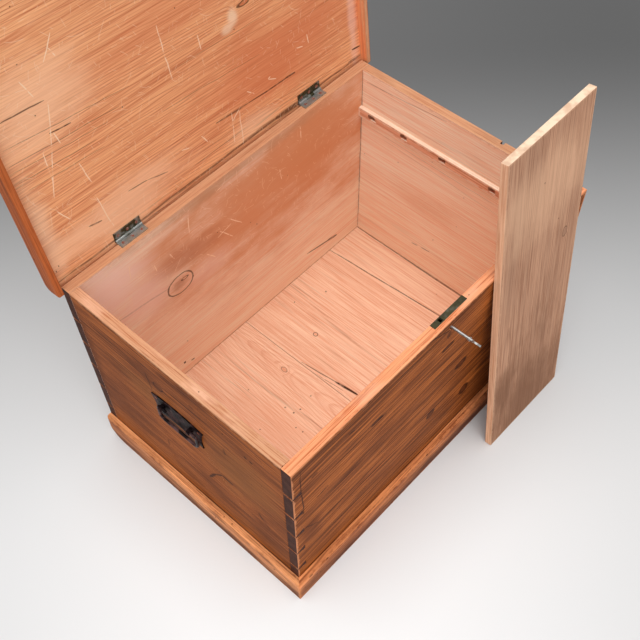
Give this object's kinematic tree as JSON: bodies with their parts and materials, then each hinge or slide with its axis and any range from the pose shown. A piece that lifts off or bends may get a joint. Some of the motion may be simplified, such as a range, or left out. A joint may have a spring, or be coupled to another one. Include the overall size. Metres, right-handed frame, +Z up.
{
  "type": "carriage chest",
  "caption": "Dovetailed pine storage chest with an open hinged lid, box lock and key, drop handles at its ends, a plinth and a loose board leaning on the front.",
  "frame": {"origin": "on the ground under the middle of the case", "axes": "+Z up, +Y from the front to the hinged back, +X to the right end as seen from the front"},
  "size_m": [0.854, 0.7437, 1.0964],
  "materials": {
    "pine_outside": "worn wax",
    "pine_inside": "dry, scratched",
    "pine_floor": "dry, scratched",
    "pine_trim": "worn wax",
    "pine_lid": "worn wax",
    "board": "dry",
    "hinge_steel": "tarnished",
    "lock_brass": "tarnished",
    "lock_steel": "dull",
    "key_steel": "worn bright",
    "handle_iron": "blackened",
    "screw_steel": "rusted",
    "nail_iron": "rusted"
  },
  "bodies": {
    "case": {"front_board": "pine_outside", "back_board": "pine_inside", "left_end": "pine_outside", "right_end": "pine_inside", "floor_board_left": "pine_floor", "floor_board_middle": "pine_floor", "floor_board_right": "pine_floor", "floor_nails": "nail_iron", "plinth_front": "pine_trim", "plinth_left": "pine_trim", "plinth_right": "pine_trim", "plinth_nails": "nail_iron", "cleat_left": "pine_inside", "cleat_right": "pine_inside", "cleat_screws": "screw_steel", "hinge_left_case_leaf": "hinge_steel", "hinge_right_case_leaf": "hinge_steel", "hinge_left_pin": "hinge_steel", "hinge_right_pin": "hinge_steel", "hinge_case_screws": "screw_steel", "lock_plate": "lock_brass", "lock_cap": "lock_steel", "lock_drill_pin": "lock_steel", "lock_screws": "screw_steel", "handle_plate_left": "handle_iron", "handle_plate_right": "handle_iron", "handle_screws": "screw_steel"},
    "lid": {"lid_board": "pine_lid", "lid_moulding_front": "pine_trim", "lid_moulding_left": "pine_trim", "lid_moulding_right": "pine_trim", "lid_moulding_nails": "nail_iron", "hinge_left_lid_leaf": "hinge_steel", "hinge_right_lid_leaf": "hinge_steel", "hinge_lid_screws": "screw_steel", "lock_link_plate": "lock_brass", "link_plate_screws": "screw_steel"},
    "lock_bolt": {"lock_bolt": "lock_brass"},
    "key": {"key": "key_steel"},
    "handle_bail_left": {"handle_bail_left": "handle_iron"},
    "handle_bail_right": {"handle_bail_right": "handle_iron"},
    "shelf_board": {"shelf_board": "board"}
  },
  "joints": [
    {"name": "lid_hinge", "type": "hinge", "parent": "case", "child": "lid", "pos_m": [0, 0.2874, 0.5113], "axis": [1, 0, 0], "range_deg": [0, 96.5]},
    {"name": "shelf_board_away", "type": "slide", "parent": "case", "child": "shelf_board", "axis": [0, -1, 0], "range_m": [0, 0.12]},
    {"name": "key_turn", "type": "hinge", "parent": "case", "child": "key", "pos_m": [-0.002, 0, 0.4915], "axis": [0, -1, 0], "range_deg": [-33, 147]},
    {"name": "bolt_slide", "type": "slide", "parent": "case", "child": "lock_bolt", "axis": [-1, 0, 0], "range_m": [-0.0023, 0.0099]},
    {"name": "bail_left_swing", "type": "hinge", "parent": "case", "child": "handle_bail_left", "pos_m": [-0.4185, 0, 0.368], "axis": [0, 1, 0], "range_deg": [0, 170]},
    {"name": "bail_right_swing", "type": "hinge", "parent": "case", "child": "handle_bail_right", "pos_m": [0.4185, 0, 0.368], "axis": [0, -1, 0], "range_deg": [0, 170]}
  ],
  "couplings": [
    {"joint": "shelf_board_away", "follows": "lid_hinge", "m_per_rad": 0.0712},
    {"joint": "bolt_slide", "follows": "key_turn", "m_per_rad": 0.00382}
  ]
}
